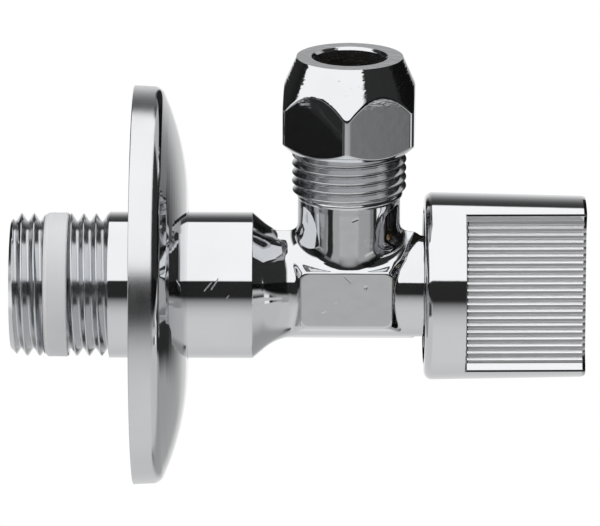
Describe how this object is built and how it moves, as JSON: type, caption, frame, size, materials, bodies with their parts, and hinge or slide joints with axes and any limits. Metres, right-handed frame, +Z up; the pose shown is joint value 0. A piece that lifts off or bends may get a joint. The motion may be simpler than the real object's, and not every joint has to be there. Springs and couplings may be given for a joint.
{
  "type": "angle valve",
  "caption": "Chromed angle stop valve with a threaded wall inlet, sliding wall rosette, compression outlet and ribbed knob.",
  "frame": {"origin": "centre of the inlet end face, on the valve axis", "axes": "+X along the valve axis from the wall to the knob, +Z up the outlet, front of the wrench flat faces -Y"},
  "size_m": [0.0838, 0.0584, 0.0639],
  "materials": {
    "chromed_brass": "bright chrome plate on brass",
    "bare_brass": "turned, unplated",
    "white_plastic": "moulded, matte",
    "chromed_plastic": "bright chrome plate on moulded plastic",
    "black_rubber": "moulded nitrile",
    "steel": "plain steel",
    "ptfe": "turned, waxy"
  },
  "bodies": {
    "body": {"valve_body": "chromed_brass", "thread_seal_ring": "white_plastic", "headwork_body": "bare_brass", "headwork_seal": "ptfe", "slip_washer": "ptfe", "retaining_clip": "steel"},
    "rosette": {"wall_rosette": "chromed_brass"},
    "olive": {"compression_olive": "bare_brass"},
    "nut": {"compression_nut": "chromed_brass"},
    "handle": {"spindle": "bare_brass", "spindle_o_ring_1": "black_rubber", "spindle_o_ring_2": "black_rubber", "knob": "chromed_plastic", "lock_washer": "steel", "knob_screw": "steel", "knob_cap": "chromed_plastic"},
    "piston": {"valve_piston": "bare_brass", "piston_o_ring": "black_rubber", "seat_washer": "black_rubber", "washer_screw": "steel"}
  },
  "joints": [
    {"name": "handle_turn", "type": "hinge", "parent": "body", "child": "handle", "pos_m": [0.07, 0, 0], "axis": [1, 0, 0], "range_deg": [0, 1080]},
    {"name": "piston_lift", "type": "slide", "parent": "body", "child": "piston", "axis": [1, 0, 0], "range_m": [0, 0.0045]},
    {"name": "nut_rise", "type": "slide", "parent": "body", "child": "olive", "axis": [0, 0, 1], "range_m": [0, 0.00535]},
    {"name": "nut_turn", "type": "hinge", "parent": "olive", "child": "nut", "pos_m": [0.0493, 0, 0.028], "axis": [0, 0, 1], "range_deg": [0, 1440]},
    {"name": "rosette_slide", "type": "slide", "parent": "body", "child": "rosette", "axis": [1, 0, 0], "range_m": [-0.003, 0.0094]}
  ],
  "couplings": [
    {"joint": "piston_lift", "follows": "handle_turn", "m_per_rad": 0.00023873},
    {"joint": "nut_rise", "follows": "nut_turn", "m_per_rad": 0.00021279}
  ]
}
